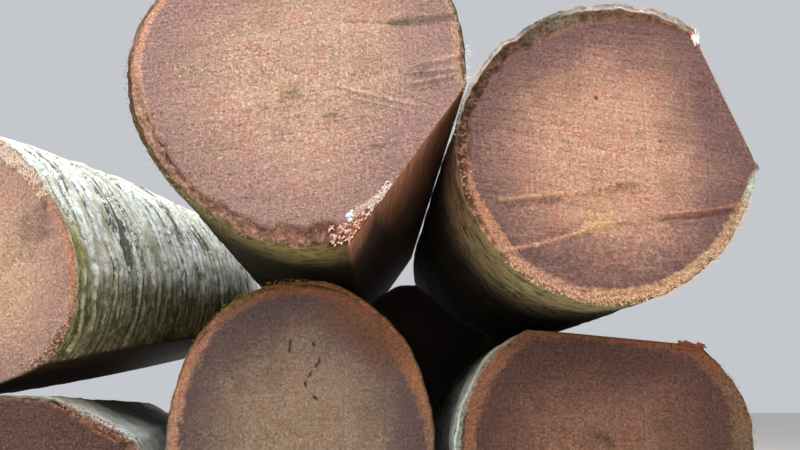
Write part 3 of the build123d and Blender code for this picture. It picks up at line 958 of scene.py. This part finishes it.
# these end tones, and the heart and ring given below, are darker than the top logs' ends: the end's own
# browning, with painted shade under the logs above
log.keep_tones(
    rim_tone=(
        (0, (150, 112, 88)), (30, (160, 108, 74)), (60, (160, 94, 56)), (90, (142, 90, 58)),
        (120, (150, 104, 78)), (150, (184, 130, 100)), (180, (186, 140, 110)), (270, (140, 104, 82))
    ),
    pale_tone=((0, (150, 116, 108)), (40, (112, 74, 54)), (90, (112, 72, 52)), (270, (150, 116, 108))),
    dark_tone=((0, (58, 40, 36)),),
    bast_tone=(
        (0, (150, 108, 80)), (60, (156, 98, 60)), (90, (128, 82, 48)), (115, (122, 92, 54)),
        (145, (182, 130, 102)), (180, (166, 120, 90))
    ),
    skin=(
        (0, (112, 82, 56)), (60, (116, 76, 44)), (90, (112, 78, 40)), (112, (122, 104, 50)),
        (130, (118, 96, 54)), (150, (140, 106, 74)), (180, (140, 130, 110)), (270, (84, 74, 56))
    ),
)
log.place(
    sawn_end(
        "bottom_centre_sawn_end", heart=(158, 134, 112), ring=(98, 78, 75), heart_size=0.64,
        heart_at=(4, -16), lean=5, grit=1.0, frost=0.35, saw=0.6
    ),
    rough_bark("bottom_centre_bark", cracks=(52, 40, 28), moss=(84, 82, 44), moss_share=0.35, broken=0.4),
)
log.fringe(
    "bottom_centre_hairs", (128, 100, 58), count=120, angles=(80, 140), inset=(0, 2), length=1.6,
    thickness=0.4, seed=311, outward=0.6, spread=0.4
)


# BOTTOM RIGHT LOG. A birch billet with a slab sawn off its top, running out half way back, so that
# the log above lies on it. It stands on the floor a little clear of its neighbour.

log = Billet("log_bottom_right", columns=400, rings=64, rows=60)
slab_faces = 84.7
slab_runs_out = 230
slab = log.flat(slab_faces) * (log.along < slab_runs_out)
bark = log.round_it(
    (0, 2), (20, 2.5), (40, 2), (54, 1), (62, 0), (118, 0), (124, 2), (140, 4), (175, 5), (200, 3), (300, 3)
)
fuller = log.round_it((122, 0), (136, 2.2), (172, 2.2), (190, 0))
log.swell = (log.gnarls(403) - 0.8 + fuller) * (1 - slab)
log.proud = log.sheet(26, 406, 3, 5) * 0.4 + log.sheet(5, 407, 5, 5) * 0.12
log.bark_edge(bark, rough=log.round_it((10, 0.8), (100, 0.2), (150, 0.5)), seed=408)
rim_width = log.round_it(
    (0, 21), (8, 21), (25, 17), (41, 18), (54, 13), (75, 10), (104, 10), (116, 13), (126, 15), (136, 17),
    (156, 19), (172, 20), (270, 14)
)
smudges = (
    log.patch(-5, 12, 8, 2) * 0.35
    + log.line((-12, 22), (14, 2), 4) * 0.3
    + log.patch(42, 26, 12) * 0.35
)
# painted shade: the bark darkens further back along the log, most on its left and lower side, where the heap
# keeps the light off
damp_starts = log.round_it((100, 4), (124, 50), (150, 110), (180, 140), (300, 10))
damp_share = log.round_it((60, 1), (100, 1), (130, 0.6), (180, 0.4), (270, 1))
log.keep(
    bare=slab,
    rim=log.edge(rim_width, 13),
    pale=0,
    dark=smudges,
    damp=log.deepening(damp_starts, 80, 0.9) * damp_share,
)
# these end tones, and the heart and ring given below, are darker than the top logs' ends: painted shade
# under the logs above, with some dirt
log.keep_tones(
    rim_tone=(
        (0, (118, 92, 70)), (25, (126, 92, 68)), (45, (134, 86, 58)), (60, (138, 80, 52)),
        (90, (134, 80, 54)), (120, (132, 84, 60)), (140, (146, 98, 72)), (170, (146, 100, 74)),
        (270, (120, 88, 70))
    ),
    pale_tone=((0, (130, 90, 60)),),
    dark_tone=((0, (70, 50, 46)),),
    bast_tone=(
        (0, (92, 76, 54)), (30, (118, 84, 54)), (50, (140, 74, 40)), (90, (112, 64, 40)),
        (132, (116, 106, 90)), (150, (136, 138, 126)), (175, (150, 158, 152))
    ),
    skin=(
        (0, (112, 96, 66)), (30, (110, 84, 56)), (60, (112, 64, 38)), (110, (100, 80, 58)),
        (124, (140, 134, 104)), (136, (164, 168, 144)), (150, (192, 202, 184)), (175, (222, 234, 228)),
        (200, (196, 206, 198)), (300, (80, 76, 62))
    ),
)
log.place(
    sawn_end(
        "bottom_right_sawn_end", heart=(142, 103, 84), ring=(94, 64, 56), heart_size=0.56, heart_at=(2, -8),
        lean=5, grit=1.3, frost=0.3, saw=0.7
    ),
    rough_bark(
        "bottom_right_bark", cracks=(58, 50, 38), moss=(84, 86, 58), moss_share=0.25, broken=0.35,
        wood=(112, 70, 46)
    ),
)
log.fringe(
    "bottom_right_whiskers", (150, 122, 84), count=160, angles=(2, 38), inset=(0, 3), length=2.4,
    thickness=0.25, seed=411, outward=0.7, spread=0.35
)
log.fringe(
    "bottom_right_splinters", (116, 66, 46), count=16, angles=(46, 56), inset=(-1, 3), length=9,
    thickness=2.2, seed=412, outward=0.6, spread=0.2, lean=1.2
)
log.fringe(
    "bottom_right_hairs", (128, 84, 58), count=60, angles=(56, 126), inset=(0, 2), length=1.6, thickness=0.4,
    seed=413, outward=0.5, spread=0.4
)


# HIDDEN CORE. One thinner split billet in the dark hollow between the four middle logs, with loose
# bark, coloured dark all over as painted shade for the hollow. It lies in the groove between the
# bottom centre and bottom right logs.

core = Billet("hidden_core", columns=240, rings=20, rows=40)
bark = core.round_it((0, 3), (90, 3), (200, 1), (260, 3))
split_faces = (205, 49, 324)
split_sides = sum(core.flat(faces) for faces in split_faces)
loose = core.round_it((318, 0), (335, 11), (348, 15), (4, 13), (18, 7), (30, 0))
core.swell = core.lumps(30, 503) + core.lumps(8, 504) * 0.5 - 1 + loose
core.proud = core.sheet(26, 506, 3, 20) * 0.6
core.bark_edge(bark, rough=0.8, seed=508)
# painted shade: the darkened bark and the dark tones and end below stand in for the shade of the deep hollow
core.keep(
    bare=split_sides * 0.7,
    rim=core.edge(8, 6),
    pale=0,
    dark=0,
    damp=np.clip(0.75 - core.along / 700, 0, 1),
)
core.keep_tones(
    rim_tone=((0, (84, 64, 52)),),
    pale_tone=((0, (90, 70, 58)),),
    dark_tone=((0, (50, 40, 36)),),
    bast_tone=((0, (70, 54, 44)),),
    skin=((0, (96, 90, 78)), (180, (112, 106, 92))),
)
core.place(
    sawn_end(
        "core_sawn_end", heart=(72, 60, 56), ring=(62, 52, 50), heart_size=0.5, lean=20, grit=1.0, frost=0.2
    ),
    rough_bark(
        "core_bark", cracks=(48, 42, 34), moss=(70, 70, 48), moss_share=0.2, broken=0.35, wood=(104, 80, 62)
    ),
)


# STUDIO. A plain pale floor, soft light from above and in front, and a camera close to the heap,
# low down and looking up at it.

floor_mesh = bmesh.new()
bmesh.ops.create_grid(floor_mesh, x_segments=1, y_segments=1, size=30)
ground = bpy.data.meshes.new("floor")
floor_mesh.to_mesh(ground)
floor_mesh.free()
floor = stand("floor", ground)
pale = Coat("floor", 0.9)
pale.shader.inputs["Base Color"].default_value = tint(220, 215, 209)
floor.data.materials.append(pale.material)

world = bpy.data.worlds.new("studio")
bpy.context.scene.world = world
world.use_nodes = True
world.node_tree.nodes["Background"].inputs["Color"].default_value = (0.92, 0.95, 1, 1)
world.node_tree.nodes["Background"].inputs["Strength"].default_value = 0.6

lamps_aim = Vector((0, -0.2, 0.25))
for name, place, power in (("sky", (-0.2, -0.6, 1.95), 37), ("front", (0.8, -1.35, 1.1), 14.5)):
    light = bpy.data.lights.new(name, "AREA")
    light.shape = "RECTANGLE"
    light.size = 1.4
    light.size_y = 1.0
    light.energy = power
    light.color = (1, 0.98, 0.95)
    lamp = stand(name, light)
    lamp.location = place
    lamp.rotation_euler = (lamps_aim - lamp.location).to_track_quat("-Z", "Y").to_euler()

camera = stand("camera", bpy.data.cameras.new("camera"))
bpy.context.scene.camera = camera
pitch = math.radians(12.5)
yaw = math.radians(2)
sight = Vector((math.sin(yaw) * math.cos(pitch), math.cos(yaw) * math.cos(pitch), math.sin(pitch)))
camera.location = (0.0682, -0.78837, 0.118)
camera.rotation_euler = sight.to_track_quat("-Z", "Y").to_euler()
camera.data.sensor_width = 36
camera.data.lens = 37.5
camera.data.clip_start = 0.01
bpy.context.scene.view_settings.view_transform = "Standard"
